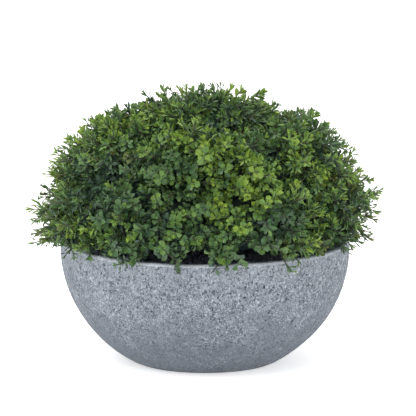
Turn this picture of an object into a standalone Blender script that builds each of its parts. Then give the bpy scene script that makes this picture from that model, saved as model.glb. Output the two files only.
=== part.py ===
"""Potted hebe ball: an artificial shrub, a low dome of spoon-shaped leaves, in a half-round bowl.

Metres, +Z up. The origin is the centre of the bowl's flat underside. The bowl, the potting fill,
a short stem, a bough to each mass of foliage and the masses are separate objects.
"""

import math
import random

import bmesh
import bpy
from mathutils import Matrix, Vector
from mathutils.bvhtree import BVHTree

SEED = 7
GAP = 0.0003  # clearance between pieces that touch on the real plant
WELD = 0.00001
SLIVER = 0.000005  # shorter edges left by a Boolean are collapsed
SHARP_ANGLE = math.radians(50)

# The bowl is an ellipsoid of revolution, cut flat underneath and at the rim.
BOWL_RADIUS = 0.150
BOWL_CURVE_HEIGHT = 0.137  # the ellipsoid's vertical half-axis
BOWL_WIDEST_Z = 0.119
BOWL_HEIGHT = 0.127
WALL = 0.007
FLOOR = 0.010
RIM_ROUNDING = 0.0028
FOOT_RADIUS = 0.0725  # of the flat underside
FOOT_EASE = 0.002  # height over which the wall turns into the underside
FOOT_EDGE_Z = 0.0005
TURNED_STEPS = 40
OUTSIDE_POINTS = 9
INSIDE_POINTS = 5
ROUNDING_POINTS = 3
ROUNDING_SWEEP = 60.0  # degrees that each edge of the rim turns through

# The fill lies 0.3 mm inside the bowl and is slightly domed.
FILL_EDGE_Z = 0.1175
FILL_CENTRE_Z = 0.1205
FILL_POINTS = 3

# The crown is a flattened ball that swells over the rim.
CROWN_RADIUS = 0.180
CROWN_HALF_HEIGHT = 0.121
CROWN_CENTRE = Vector((0.0, 0.0, 0.1675))
CREASE = 0.07  # how far the outline dips where two masses meet, as a share of the reach
# Each ring of masses: name, how many, elevation and first azimuth in degrees, reach.
RINGS = (
    ("top", 1, 90.0, 0.0, 1.0),
    ("upper", 5, 33.0, -90.0, 1.0),
    ("lower", 8, -6.0, -112.5, 1.05),
)
SPACE_CLEARANCE = 0.0006  # each mass keeps this far inside its own space
RIM_CLEARANCE = 0.0025
OVERHANG = 0.009  # the lowest leaves hang this far below the rim, outside it
FRONT_LIFT = 0.009  # the crown's lower edge is this much higher at the front

# Limbs. Shares are of the crown's reach, from its centre.
STEM_BASE_RADIUS = 0.014
STEM_RADIUS = 0.009
STEM_TOP_RADIUS = 0.0068
STEM_TOP_Z = 0.180
STEM_FLARE_RATE = 9.0  # how fast the root flare dies away up the stem
STEM_POINTS = 7
STEM_CROWDING = 1.4  # the stem's points lie closer together in the flare
STEM_RESOLUTION = 3
BOUGH_RADIUS = 0.0032
BOUGH_TIP_RADIUS = 0.0022
BOUGH_POINTS = 5
BOUGH_RESOLUTION = 1
BOUGH_BOW = 0.003
LOWER_BOUGH_Z = 0.1545
UPPER_BOUGH_Z = 0.1705
BOUGH_END_SHARE = 0.40
STEM_HEAD_SHARE = 0.58
FORK_SHARE = 0.42

# Foliage.
CORE_SHARE = 0.785
CORE_ROUGHNESS = 0.05
CORE_INNER_SHARE = 0.46
CORE_BOTTOM_Z = 0.135
TIPS = 228  # shoots over the whole ball, before those under the rim are left out
TIP_SHARES = (0.97, 1.0)
TIP_SETBACK = 0.55  # a shoot's own end lies this many leaf lengths below its leaves' tips
SHOOT_RADIUS = 0.0018
SHOOT_TIP_RADIUS = 0.0015
TWIG_RADIUS = 0.0022
LEAF_LENGTH = 0.024
LEAF_WIDTH = 0.0155
LEAF_THICKNESS = 0.0021
LEAF_KEEL_SHARE = 0.52
LEAF_ROUNDNESS = 0.6
LEAF_REACH = 1.03  # leaf tips may stand this far past the outline
LEAF_ROOT = 0.0002  # from the shoot's middle line, on the leaf's own side
# Leaf pairs along a shoot: distance below its tip, spread from the shoot's line in degrees, size.
LEAF_PAIRS = (
    (0.0016, 46.0, 0.85),
    (0.0085, 74.0, 1.0),
)
WAY_POINTS = 20
TURN_TRIES = 7
TURN_STEP = 20.0

MATERIALS = {
    "bowl": ((0.30, 0.335, 0.37), 0.85),
    "fill": ((0.014, 0.018, 0.015), 0.95),
    "stem": ((0.10, 0.085, 0.04), 0.8),
    "foliage": ((0.07, 0.15, 0.035), 0.5),
}


# ---------------------------------------------------------------- helpers


def clear_scene():
    for obj in list(bpy.data.objects):
        bpy.data.objects.remove(obj, do_unlink=True)


def make_material(name):
    colour, roughness = MATERIALS[name]
    material = bpy.data.materials.new(name)
    material.use_nodes = True
    shader = material.node_tree.nodes["Principled BSDF"]
    shader.inputs["Base Color"].default_value = (*colour, 1.0)
    shader.inputs["Roughness"].default_value = roughness
    shader.inputs["Metallic"].default_value = 0.0
    material.diffuse_color = (*colour, 1.0)
    return material


def make_collection(name):
    collection = bpy.data.collections.new(name)
    bpy.context.scene.collection.children.link(collection)
    return collection


def add_object(name, data, collection, material=None):
    obj = bpy.data.objects.new(name, data)
    collection.objects.link(obj)
    if material is not None:
        data.materials.append(material)
    return obj


def turned(name, profile, collection, material):
    """A solid turned about Z from a profile of (radius, height), the inner side first."""
    mesh = bpy.data.meshes.new(name)
    edges = [(i, i + 1) for i in range(len(profile) - 1)]
    mesh.from_pydata([(r, 0.0, z) for r, z in profile], edges, [])
    obj = add_object(name, mesh, collection, material)
    screw = obj.modifiers.new("turn", "SCREW")
    screw.axis = "Z"
    screw.steps = TURNED_STEPS
    screw.render_steps = TURNED_STEPS
    screw.use_merge_vertices = True
    screw.merge_threshold = WELD
    screw.use_smooth_shade = True
    return obj


def evaluated_mesh(obj):
    graph = bpy.context.evaluated_depsgraph_get()
    return bpy.data.meshes.new_from_object(obj.evaluated_get(graph))


def weld_caps(mesh):
    """Joins a curve's end caps to its sides."""
    shaped = bmesh.new()
    shaped.from_mesh(mesh)
    bmesh.ops.remove_doubles(shaped, verts=shaped.verts, dist=WELD)
    bmesh.ops.recalc_face_normals(shaped, faces=shaped.faces)
    shaped.to_mesh(mesh)
    shaped.free()


def drop_slivers(mesh):
    """Cuts the faces into triangles and closes up the edges shorter than the sliver length."""
    shaped = bmesh.new()
    shaped.from_mesh(mesh)
    bmesh.ops.triangulate(shaped, faces=shaped.faces)
    slivers = [edge for edge in shaped.edges if edge.calc_length() < SLIVER]
    while slivers:
        bmesh.ops.collapse(shaped, edges=slivers)
        slivers = [edge for edge in shaped.edges if edge.calc_length() < SLIVER]
    shaped.to_mesh(mesh)
    shaped.free()


def limb(name, points, radii, sides_resolution, collection, material):
    """A tapering limb along the points, with a flat cut at each end, as a mesh."""
    curve = bpy.data.curves.new(name + "_line", "CURVE")
    curve.dimensions = "3D"
    curve.bevel_depth = 1.0
    curve.bevel_resolution = sides_resolution
    curve.use_fill_caps = True
    spline = curve.splines.new("POLY")
    spline.points.add(len(points) - 1)
    for spline_point, point, radius in zip(spline.points, points, radii):
        spline_point.co = (*point, 1.0)
        spline_point.radius = radius
    line = add_object(name + "_line", curve, collection)
    bpy.context.view_layer.update()
    mesh = evaluated_mesh(line)
    bpy.data.objects.remove(line)
    weld_caps(mesh)
    mesh.name = name
    mesh.shade_smooth()
    mesh.set_sharp_from_angle(angle=SHARP_ANGLE)
    return add_object(name, mesh, collection, material)


# ---------------------------------------------------------------- bowl and fill


def bowl_radius_at(z, inset=0.0):
    """Radius of the bowl's outside curve at height z, or of that curve moved inwards by inset."""
    rise = (z - BOWL_WIDEST_Z) / (BOWL_CURVE_HEIGHT - inset)
    return (BOWL_RADIUS - inset) * math.sqrt(max(0.0, 1.0 - rise * rise))


def spaced(first, last, count):
    return [first + (last - first) * i / (count - 1) for i in range(count)]


def corner(centre, first_degrees, last_degrees):
    """Points of one of the rim's rounded edges, as an arc of (radius, height) about its centre."""
    angles = spaced(math.radians(first_degrees), math.radians(last_degrees), ROUNDING_POINTS)
    return [
        (centre[0] + RIM_ROUNDING * math.cos(a), centre[1] + RIM_ROUNDING * math.sin(a))
        for a in angles
    ]


def wall_heights(low, high, count):
    """Heights that lie at even angles round the bowl's curve, from low to high."""
    start = math.asin((low - BOWL_WIDEST_Z) / BOWL_CURVE_HEIGHT)
    end = math.asin((high - BOWL_WIDEST_Z) / BOWL_CURVE_HEIGHT)
    return [BOWL_WIDEST_Z + BOWL_CURVE_HEIGHT * math.sin(a) for a in spaced(start, end, count)]


def inside_heights():
    """Heights of the bowl's inner wall, one of them at the edge of the fill."""
    below = wall_heights(FLOOR, FILL_EDGE_Z, INSIDE_POINTS)
    return below, wall_heights(FILL_EDGE_Z, BOWL_HEIGHT - RIM_ROUNDING, 2)[1:]


def make_bowl(collection, material):
    rim_low = BOWL_HEIGHT - RIM_ROUNDING
    below, above = inside_heights()
    inside = [(0.0, FLOOR)] + [(bowl_radius_at(z, WALL), z) for z in below + above]
    outer_edge = bowl_radius_at(rim_low)
    inner_edge = bowl_radius_at(rim_low, WALL)
    rim = corner((inner_edge + RIM_ROUNDING, rim_low), 90.0 + ROUNDING_SWEEP, 90.0)
    rim += corner((outer_edge - RIM_ROUNDING, rim_low), 90.0, 90.0 - ROUNDING_SWEEP)
    outside_heights = wall_heights(FOOT_EASE, rim_low, OUTSIDE_POINTS)
    outside = [(bowl_radius_at(z), z) for z in reversed(outside_heights)]
    foot = [(bowl_radius_at(0.0), FOOT_EDGE_Z), (FOOT_RADIUS, 0.0)]
    profile = inside + rim + outside + foot + [(0.0, 0.0)]
    return turned("bowl", profile, collection, material)


def make_fill(collection, material):
    """The fill, its side faces parallel to the faces of the bowl's inner wall."""
    below, _ = inside_heights()
    side = [(bowl_radius_at(z, WALL) - GAP, max(z, FLOOR + GAP)) for z in reversed(below)]
    dome = FILL_CENTRE_Z - FILL_EDGE_Z
    top = [
        (side[0][0] * share, FILL_CENTRE_Z - dome * share**2)
        for share in spaced(0.0, 1.0, FILL_POINTS)[:-1]
    ]
    return turned("potting_fill", top + side + [(0.0, FLOOR + GAP)], collection, material)


# ---------------------------------------------------------------- the crown's spaces


class Mass:
    """One mass of foliage: its name, the way it lies from the crown's centre, and its reach."""

    def __init__(self, name, direction, reach):
        self.name = name
        self.direction = direction
        self.reach = reach
        self.others = []
        self.slopes = []

    def point(self, share):
        return at_share(self.direction, share)


def at_share(direction, share):
    """The point at this share of the crown's reach, along a direction of the unstretched ball."""
    return CROWN_CENTRE + Vector(
        (
            direction.x * share * CROWN_RADIUS,
            direction.y * share * CROWN_RADIUS,
            direction.z * share * CROWN_HALF_HEIGHT,
        )
    )


def unstretched(point):
    """The point in the unstretched ball, where the crown's outline has a radius of 1."""
    offset = point - CROWN_CENTRE
    return Vector(
        (offset.x / CROWN_RADIUS, offset.y / CROWN_RADIUS, offset.z / CROWN_HALF_HEIGHT)
    )


def ball_direction(elevation, azimuth):
    up = math.radians(elevation)
    around = math.radians(azimuth)
    return Vector(
        (math.cos(up) * math.cos(around), math.cos(up) * math.sin(around), math.sin(up))
    )


def lay_out_masses():
    masses = []
    for ring, count, elevation, first_azimuth, reach in RINGS:
        for i in range(count):
            direction = ball_direction(elevation, first_azimuth + 360.0 * i / count)
            name = ring if count == 1 else f"{ring}_{i + 1}"
            masses.append(Mass(name, direction, reach))
    for mass in masses:
        mass.others = [other for other in masses if other is not mass]
        mass.slopes = [parting_slope(mass, other) for other in mass.others]
    return masses


def outline_share(mass, direction):
    """How far the foliage reaches along a direction: full amid the mass, less at a crease."""
    own = mass.direction.angle(direction)
    nearest = min(other.direction.angle(direction) for other in mass.others)
    return mass.reach * (1.0 - CREASE * min(1.0, own / nearest) ** 3)


def parting_slope(mass, other):
    """Square to the plane that parts two masses, through the crown's centre, towards the first."""
    across = mass.direction - other.direction
    return Vector(
        (across.x / CROWN_RADIUS, across.y / CROWN_RADIUS, across.z / CROWN_HALF_HEIGHT)
    ).normalized()


def distance_into_space(mass, point):
    """How far the point lies inside the planes that part this mass from the others."""
    offset = point - CROWN_CENTRE
    return min(offset.dot(slope) for slope in mass.slopes)


def clear_of_bowl(point):
    """Whether a point is above the rim, or a little below it outside; the front is kept higher."""
    around = math.hypot(point.x, point.y)
    lift = FRONT_LIFT * max(0.0, -point.y / around) ** 2 if around > 0.0 else 0.0
    if around > BOWL_RADIUS + RIM_CLEARANCE:
        return point.z > BOWL_HEIGHT - OVERHANG + 2 * lift
    return point.z > BOWL_HEIGHT + RIM_CLEARANCE + lift


def in_space(mass, point, most_share=1.0, least_share=BOUGH_END_SHARE):
    place = unstretched(point)
    share = place.length
    return (
        least_share < share < most_share * outline_share(mass, place)
        and distance_into_space(mass, point) > SPACE_CLEARANCE
        and clear_of_bowl(point)
    )


# ---------------------------------------------------------------- stem and boughs


def stem_radius_at(z):
    foot = FILL_CENTRE_Z + GAP
    share = (z - foot) / (STEM_TOP_Z - foot)
    taper = STEM_RADIUS + (STEM_TOP_RADIUS - STEM_RADIUS) * share
    flare = (STEM_BASE_RADIUS - STEM_RADIUS) * math.exp(-STEM_FLARE_RATE * share)
    return taper + flare


def make_stem(collection, material):
    foot = FILL_CENTRE_Z + GAP
    shares = spaced(0.0, 1.0, STEM_POINTS)
    levels = [foot + (STEM_TOP_Z - foot) * share**STEM_CROWDING for share in shares]
    points = [Vector((0.0, 0.0, z)) for z in levels]
    radii = [stem_radius_at(z) for z in levels]
    return limb("stem", points, radii, STEM_RESOLUTION, collection, material)


def bowed(start, end):
    """A line from start to end that sags a little between them."""
    bow = Vector((0.0, 0.0, BOUGH_BOW))
    return [
        start.lerp(end, share) - bow * math.sin(math.pi * share)
        for share in spaced(0.0, 1.0, BOUGH_POINTS)
    ]


def bough_line(mass):
    """The middle line of the bough to a mass, from the stem's top or side to the mass's foot."""
    end = mass.point(BOUGH_END_SHARE)
    if mass.name == "top":
        return bowed(Vector((0.0, 0.0, STEM_TOP_Z + GAP)), end)
    z = UPPER_BOUGH_Z if end.z > CROWN_CENTRE.z else LOWER_BOUGH_Z
    level = Vector((end.x, end.y, 0.0)).normalized()
    skin = Vector((0.0, 0.0, z)) + level * (stem_radius_at(z) + GAP)
    line = bowed(skin, end)
    tilt = abs((line[1] - line[0]).normalized().z)
    return bowed(skin + level * BOUGH_RADIUS * tilt, end)


def make_bough(mass, collection, material):
    radii = spaced(BOUGH_RADIUS, BOUGH_TIP_RADIUS, BOUGH_POINTS)
    line = bough_line(mass)
    return limb(f"bough_{mass.name}", line, radii, BOUGH_RESOLUTION, collection, material)


# ---------------------------------------------------------------- foliage


def leaf_mesh():
    """A spoon-shaped leaf along +X from the origin: a shallow five-sided cone, its point the keel."""
    shaped = bmesh.new()
    bmesh.ops.create_cone(shaped, cap_ends=True, segments=5, radius1=1.0, radius2=0.0, depth=1.0)
    bmesh.ops.remove_doubles(shaped, verts=shaped.verts, dist=WELD)
    for vert in shaped.verts:
        if vert.co.z > 0.0:
            vert.co = Vector((LEAF_LENGTH * LEAF_KEEL_SHARE, 0.0, -LEAF_THICKNESS))
        else:
            along = ((1.0 - vert.co.y) / 2.0) ** LEAF_ROUNDNESS
            vert.co = Vector((LEAF_LENGTH * along, vert.co.x * LEAF_WIDTH / 2.0, 0.0))
    bmesh.ops.recalc_face_normals(shaped, faces=shaped.faces)
    mesh = bpy.data.meshes.new("leaf")
    shaped.to_mesh(mesh)
    shaped.free()
    return mesh


def twig_mesh(length, root_radius, tip_radius):
    """A three-sided tapering twig along +Z from the origin."""
    shaped = bmesh.new()
    bmesh.ops.create_cone(
        shaped,
        cap_ends=True,
        segments=3,
        radius1=root_radius,
        radius2=tip_radius,
        depth=length,
    )
    bmesh.ops.translate(shaped, verts=shaped.verts, vec=(0.0, 0.0, length / 2.0))
    bmesh.ops.triangulate(shaped, faces=shaped.faces)
    mesh = bpy.data.meshes.new("twig")
    shaped.to_mesh(mesh)
    shaped.free()
    return mesh


def add_twig(start, end, root_radius, tip_radius, collection):
    along = end - start
    twig = add_object("twig", twig_mesh(along.length, root_radius, tip_radius), collection)
    turned_frame = along.to_track_quat("Z", "Y").to_matrix().to_4x4()
    twig.matrix_world = Matrix.Translation(start) @ turned_frame
    return twig


def make_heart(rng):
    """The dense inside of the whole crown: a lumpy ball, from which each mass's core is cut."""
    shaped = bmesh.new()
    bmesh.ops.create_icosphere(shaped, subdivisions=3, radius=1.0)
    for vert in shaped.verts:
        share = CORE_SHARE * (1.0 + rng.uniform(-CORE_ROUGHNESS, CORE_ROUGHNESS))
        vert.co = at_share(vert.co.normalized(), share)
    mesh = bpy.data.meshes.new("heart")
    shaped.to_mesh(mesh)
    shaped.free()
    return mesh


def core_mesh(mass, heart):
    """A mass's part of the heart, cut along its space, above the bowl and clear of its bough."""
    cuts = [(CROWN_CENTRE + slope * SPACE_CLEARANCE, -slope) for slope in mass.slopes]
    cuts.append((mass.point(CORE_INNER_SHARE), -(mass.point(1.0) - mass.point(0.0))))
    cuts.append((Vector((0.0, 0.0, CORE_BOTTOM_Z)), Vector((0.0, 0.0, -1.0))))
    shaped = bmesh.new()
    shaped.from_mesh(heart)
    for place, outward in cuts:
        everything = shaped.verts[:] + shaped.edges[:] + shaped.faces[:]
        cut = bmesh.ops.bisect_plane(
            shaped, geom=everything, plane_co=place, plane_no=outward, clear_outer=True
        )
        rim = [item for item in cut["geom_cut"] if isinstance(item, bmesh.types.BMEdge)]
        bmesh.ops.edgeloop_fill(shaped, edges=rim)
    bmesh.ops.recalc_face_normals(shaped, faces=shaped.faces)
    mesh = bpy.data.meshes.new(f"core_{mass.name}")
    shaped.to_mesh(mesh)
    shaped.free()
    return mesh


def tip_directions():
    """Shoots spread evenly over the ball by a golden-angle spiral."""
    golden = math.pi * (3.0 - math.sqrt(5.0))
    for i in range(TIPS):
        z = 1.0 - 2.0 * (i + 0.5) / TIPS
        level = math.sqrt(1.0 - z * z)
        yield Vector((level * math.cos(golden * i), level * math.sin(golden * i), z))


def deal_tips(masses):
    """Each mass's share of the shoots."""
    dealt = {mass.name: [] for mass in masses}
    for direction in tip_directions():
        mass = min(masses, key=lambda m: m.direction.angle(direction))
        dealt[mass.name].append(direction)
    return dealt


def surface_of(mesh, matrix):
    """The mesh as it lies, ready to be tested against others."""
    corners = [matrix @ vert.co for vert in mesh.vertices]
    faces = [tuple(face.vertices) for face in mesh.polygons]
    return BVHTree.FromPolygons(corners, faces)


def leaf_fits(mass, leaf, matrix, obstacles):
    """Whether a leaf keeps to its mass's space and crosses no other leaf or shoot, nor the bowl."""
    corners = [matrix @ vert.co for vert in leaf.vertices]
    middles = [
        (corners[edge.vertices[0]] + corners[edge.vertices[1]]) / 2 for edge in leaf.edges
    ]
    if not all(in_space(mass, point, LEAF_REACH) for point in corners + middles):
        return False
    surface = surface_of(leaf, matrix)
    return not any(surface.overlap(other) for other in obstacles)


def leaf_matrix(root, along, outward, spread, size):
    """Places a leaf, its blade turned outward from the shoot's line by the spread, its face up it."""
    blade = along * math.cos(spread) + outward * math.sin(spread)
    face = (along - blade * along.dot(blade)).normalized()
    turned_frame = Matrix((blade, face.cross(blade), face)).transposed().to_4x4()
    return Matrix.Translation(root) @ turned_frame @ Matrix.Scale(size, 4)


def add_leaf_pairs(mass, start, end, leaf, collection, obstacles, rng):
    """Opposite pairs of leaves on a shoot, each pair turned a quarter from the last."""
    along = (end - start).normalized()
    side = along.orthogonal().normalized()
    turn = rng.uniform(0.0, math.pi)
    grown = []
    for below_tip, spread, size in LEAF_PAIRS:
        for half in (0.0, math.pi):
            for attempt in range(TURN_TRIES):
                twist = math.radians(TURN_STEP) * ((attempt + 1) // 2) * (-1) ** attempt
                outward = Matrix.Rotation(turn + half + twist, 3, along) @ side
                root = end - along * below_tip + outward * LEAF_ROOT
                matrix = leaf_matrix(root, along, outward, math.radians(spread), size)
                if leaf_fits(mass, leaf, matrix, obstacles + grown):
                    add_object("leaf", leaf, collection).matrix_world = matrix
                    grown.append(surface_of(leaf, matrix))
                    break
        turn += math.pi / 2
    return grown


def pair_up(mass, tips, rng):
    """The ends of a mass's shoots, two by two round its middle line, those off its space left out."""
    middle = mass.point(1.0)
    axis = (middle - mass.point(0.0)).normalized()
    level = axis.orthogonal().normalized()
    beyond = axis.cross(level)

    def bearing(direction):
        offset = at_share(direction, 1.0) - middle
        return math.atan2(offset.dot(beyond), offset.dot(level))

    head = mass.point(STEM_HEAD_SHARE)
    ends = []
    for direction in sorted(tips, key=bearing):
        tip = at_share(direction, outline_share(mass, direction) * rng.uniform(*TIP_SHARES))
        end = tip - (tip - head).normalized() * LEAF_LENGTH * TIP_SETBACK
        way = [head.lerp(end, share) for share in spaced(0.0, 1.0, WAY_POINTS)]
        if in_space(mass, end) and all(clear_of_bowl(point) for point in way):
            ends.append(end)
    return [ends[i : i + 2] for i in range(0, len(ends), 2)]


def make_foliage(mass, tips, heart, leaf, bowl_surface, collection, material, rng):
    """One mass: a stem from the bough's tip, a dense core, and twigs that fork into leafy shoots."""
    pieces = make_collection(f"pieces_{mass.name}")
    foot = mass.point(BOUGH_END_SHARE)
    rise = (foot - bough_line(mass)[-2]).normalized()
    head = mass.point(STEM_HEAD_SHARE)
    add_twig(foot + rise * 2 * GAP, head, BOUGH_TIP_RADIUS, TWIG_RADIUS, pieces)
    shoots = []
    for ends in pair_up(mass, tips, rng):
        fork = head.lerp(sum(ends, Vector()) / len(ends), FORK_SHARE)
        add_twig(head, fork, TWIG_RADIUS, TWIG_RADIUS, pieces)
        for end in ends:
            start = fork - (end - fork).normalized() * TWIG_RADIUS
            shoot = add_twig(start, end, SHOOT_RADIUS, SHOOT_TIP_RADIUS, pieces)
            shoots.append((start, end, surface_of(shoot.data, shoot.matrix_world)))
    leaves = []
    for start, end, own_surface in shoots:
        obstacles = [bowl_surface] + leaves
        obstacles += [surface for _, _, surface in shoots if surface is not own_surface]
        leaves += add_leaf_pairs(mass, start, end, leaf, pieces, obstacles, rng)
    name = f"foliage_{mass.name}"
    host = add_object(name, core_mesh(mass, heart), collection)
    union = host.modifiers.new("join", "BOOLEAN")
    union.operation = "UNION"
    union.operand_type = "COLLECTION"
    union.collection = pieces
    union.solver = "EXACT"
    bpy.context.view_layer.update()
    joined = evaluated_mesh(host)
    drop_slivers(joined)
    host.modifiers.clear()
    host.data = joined
    joined.name = name
    joined.materials.clear()
    joined.materials.append(material)
    for piece in list(pieces.objects):
        bpy.data.objects.remove(piece, do_unlink=True)
    bpy.data.collections.remove(pieces)
    print(name, len(shoots), "shoots", len(leaves), "leaves", len(joined.polygons), "faces")


def main():
    clear_scene()
    rng = random.Random(SEED)
    parts = make_collection("potted_hebe_ball")
    materials = {name: make_material(name) for name in MATERIALS}
    bowl = make_bowl(parts, materials["bowl"])
    make_fill(parts, materials["fill"])
    make_stem(parts, materials["stem"])
    masses = lay_out_masses()
    tips = deal_tips(masses)
    bpy.context.view_layer.update()
    bowl_surface = surface_of(evaluated_mesh(bowl), bowl.matrix_world)
    heart = make_heart(rng)
    leaf = leaf_mesh()
    for mass in masses:
        make_bough(mass, parts, materials["stem"])
        make_foliage(
            mass, tips[mass.name], heart, leaf, bowl_surface, parts, materials["foliage"], rng
        )


main()
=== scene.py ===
import math
import random

import bmesh
import bpy
import numpy as np
from mathutils import Matrix, Vector, noise


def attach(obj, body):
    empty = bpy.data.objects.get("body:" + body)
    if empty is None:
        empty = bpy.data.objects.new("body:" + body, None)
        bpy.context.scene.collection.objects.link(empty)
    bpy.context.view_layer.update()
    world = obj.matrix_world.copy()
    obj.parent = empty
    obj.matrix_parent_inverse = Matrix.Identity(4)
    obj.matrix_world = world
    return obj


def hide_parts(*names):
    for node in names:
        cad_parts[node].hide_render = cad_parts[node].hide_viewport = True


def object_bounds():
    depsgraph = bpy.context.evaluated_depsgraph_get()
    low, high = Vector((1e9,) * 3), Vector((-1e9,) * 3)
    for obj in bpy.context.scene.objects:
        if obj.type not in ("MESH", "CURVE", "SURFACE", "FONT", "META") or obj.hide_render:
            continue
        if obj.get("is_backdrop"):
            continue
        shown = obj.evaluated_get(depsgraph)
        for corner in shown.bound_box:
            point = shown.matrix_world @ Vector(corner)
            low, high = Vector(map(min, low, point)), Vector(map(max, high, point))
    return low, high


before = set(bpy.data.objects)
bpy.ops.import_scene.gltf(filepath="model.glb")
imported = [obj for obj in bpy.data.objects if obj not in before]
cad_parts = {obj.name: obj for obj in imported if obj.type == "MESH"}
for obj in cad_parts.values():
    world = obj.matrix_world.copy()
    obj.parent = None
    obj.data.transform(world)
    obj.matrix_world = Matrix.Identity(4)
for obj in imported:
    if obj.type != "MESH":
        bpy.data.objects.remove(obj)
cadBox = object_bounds()
nodeNames = sorted(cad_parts)
foliageNodes = [name for name in nodeNames if name.startswith("foliage_")]
limbNodes = [name for name in nodeNames if name == "stem" or name.startswith("bough_")]
print("frame loaded:", len(nodeNames), "nodes")


# shared helpers

def spaced(first, last, count):
    return [first + (last - first) * i / (count - 1) for i in range(count)]


def smoothStep(low, high, value):
    share = min(1.0, max(0.0, (value - low) / (high - low)))
    return share * share * (3.0 - 2.0 * share)


def meshFromLists(name, points, faces, smooth=True):
    mesh = bpy.data.meshes.new(name)
    mesh.from_pydata([tuple(point) for point in points], [], faces)
    mesh.polygons.foreach_set("use_smooth", [smooth] * len(mesh.polygons))
    mesh.update()
    return mesh


def meshFromQuads(name, points, quads):
    # points is an array of n by 3, quads an array of m by 4
    mesh = bpy.data.meshes.new(name)
    mesh.vertices.add(len(points))
    mesh.vertices.foreach_set("co", points.astype(np.float32).ravel())
    mesh.loops.add(quads.size)
    mesh.loops.foreach_set("vertex_index", quads.astype(np.int32).ravel())
    mesh.polygons.add(len(quads))
    mesh.polygons.foreach_set("loop_start", np.arange(len(quads), dtype=np.int32) * 4)
    mesh.polygons.foreach_set("use_smooth", np.ones(len(quads), bool))
    mesh.update(calc_edges=True)
    mesh.validate()
    return mesh


def addObject(name, data):
    made = bpy.data.objects.new(name, data)
    bpy.context.scene.collection.objects.link(made)
    return made


def placePiece(name, mesh, material, nodes):
    piece = addObject(name, mesh)
    mesh.materials.append(material)
    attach(piece, "root")
    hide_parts(*nodes)
    return piece


def addTube(points, faces, path, radii, sides, firstSide=None):
    # a closed tube along a path, its ends capped, added to the two lists
    side = firstSide or (path[1] - path[0]).orthogonal()
    start = len(points)
    for i, (centre, radius) in enumerate(zip(path, radii)):
        along = (path[min(i + 1, len(path) - 1)] - path[max(i - 1, 0)]).normalized()
        side = (side - along * side.dot(along)).normalized()
        across = along.cross(side)
        for k in range(sides):
            turn = 2.0 * math.pi * k / sides
            reach = radius(turn, i) if callable(radius) else radius
            points.append(centre + (side * math.cos(turn) + across * math.sin(turn)) * reach)
    for i in range(len(path) - 1):
        for k in range(sides):
            a, b = start + i * sides + k, start + i * sides + (k + 1) % sides
            faces.append((a, b, b + sides, a + sides))
    faces.append(tuple(start + k for k in reversed(range(sides))))
    faces.append(tuple(start + (len(path) - 1) * sides + k for k in range(sides)))


# effects that several finishes share

def newGroup(name, inputs, outputs):
    group = bpy.data.node_groups.new(name, "ShaderNodeTree")
    for label, kind, value in inputs:
        made = group.interface.new_socket(name=label, in_out="INPUT", socket_type=kind)
        made.default_value = value
    for label, kind in outputs:
        group.interface.new_socket(name=label, in_out="OUTPUT", socket_type=kind)
    return group, group.nodes.new("NodeGroupInput"), group.nodes.new("NodeGroupOutput")


def feed(tree, socket, value):
    # value is another node's output, or a plain number, vector or colour
    if isinstance(value, bpy.types.NodeSocket):
        tree.links.new(value, socket)
    else:
        socket.default_value = (*value, 1.0) if socket.type == "RGBA" else value


def addNode(tree, kind, values=None, **settings):
    node = tree.nodes.new(kind)
    for key, value in settings.items():
        setattr(node, key, value)
    for key, value in (values or {}).items():
        feed(tree, node.inputs[key], value)
    return node


def mixColours(tree, factor, first, second):
    values = {0: factor, 6: first, 7: second}
    return addNode(tree, "ShaderNodeMix", values, data_type="RGBA").outputs[2]


def mathNode(tree, operation, *values, clamp=False):
    values = dict(enumerate(values))
    return addNode(
        tree, "ShaderNodeMath", values, operation=operation, use_clamp=clamp,
    ).outputs[0]


def mapRange(tree, value, fromLow, fromHigh, toLow, toHigh, kind="SMOOTHSTEP"):
    return addNode(tree, "ShaderNodeMapRange", interpolation_type=kind, values={
        "Value": value, "From Min": fromLow, "From Max": fromHigh,
        "To Min": toLow, "To Max": toHigh,
    }).outputs["Result"]


def objectPlace(tree):
    return addNode(tree, "ShaderNodeTexCoord").outputs["Object"]


def noiseOver(tree, place, scale, detail, roughness, distortion=0.0):
    return addNode(tree, "ShaderNodeTexNoise", {
        "Vector": place, "Scale": scale, "Detail": detail, "Roughness": roughness,
        "Distortion": distortion,
    }).outputs["Fac"]


def makeMottling():
    # soft blotches of a second colour over the first
    group, entry, leave = newGroup(
        "mottling",
        [
            ("First", "NodeSocketColor", (0.5, 0.5, 0.5, 1.0)),
            ("Second", "NodeSocketColor", (0.4, 0.4, 0.4, 1.0)),
            ("Scale", "NodeSocketFloat", 50.0),
            ("Amount", "NodeSocketFloat", 0.5),
        ],
        [("Color", "NodeSocketColor"), ("Mask", "NodeSocketFloat")],
    )
    given = entry.outputs
    blotches = noiseOver(group, objectPlace(group), given["Scale"], 3.0, 0.55)
    spread = mapRange(group, blotches, 0.35, 0.65, 0.0, 1.0)
    mask = mathNode(group, "MULTIPLY", spread, given["Amount"])
    colour = mixColours(group, mask, given["First"], given["Second"])
    feed(group, leave.inputs["Color"], colour)
    feed(group, leave.inputs["Mask"], mask)
    return group


def makeGrain():
    # fine grain: a height for bump and a roughness that follows it
    group, entry, leave = newGroup(
        "fineGrain",
        [
            ("Scale", "NodeSocketFloat", 600.0),
            ("Smoothest", "NodeSocketFloat", 0.4),
            ("Roughest", "NodeSocketFloat", 0.6),
        ],
        [("Height", "NodeSocketFloat"), ("Roughness", "NodeSocketFloat")],
    )
    given = entry.outputs
    grains = noiseOver(group, objectPlace(group), given["Scale"], 4.0, 0.6)
    rough = mapRange(group, grains, 0.3, 0.7, given["Smoothest"], given["Roughest"], "LINEAR")
    feed(group, leave.inputs["Height"], grains)
    feed(group, leave.inputs["Roughness"], rough)
    return group


mottling = makeMottling()
fineGrain = makeGrain()


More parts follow.
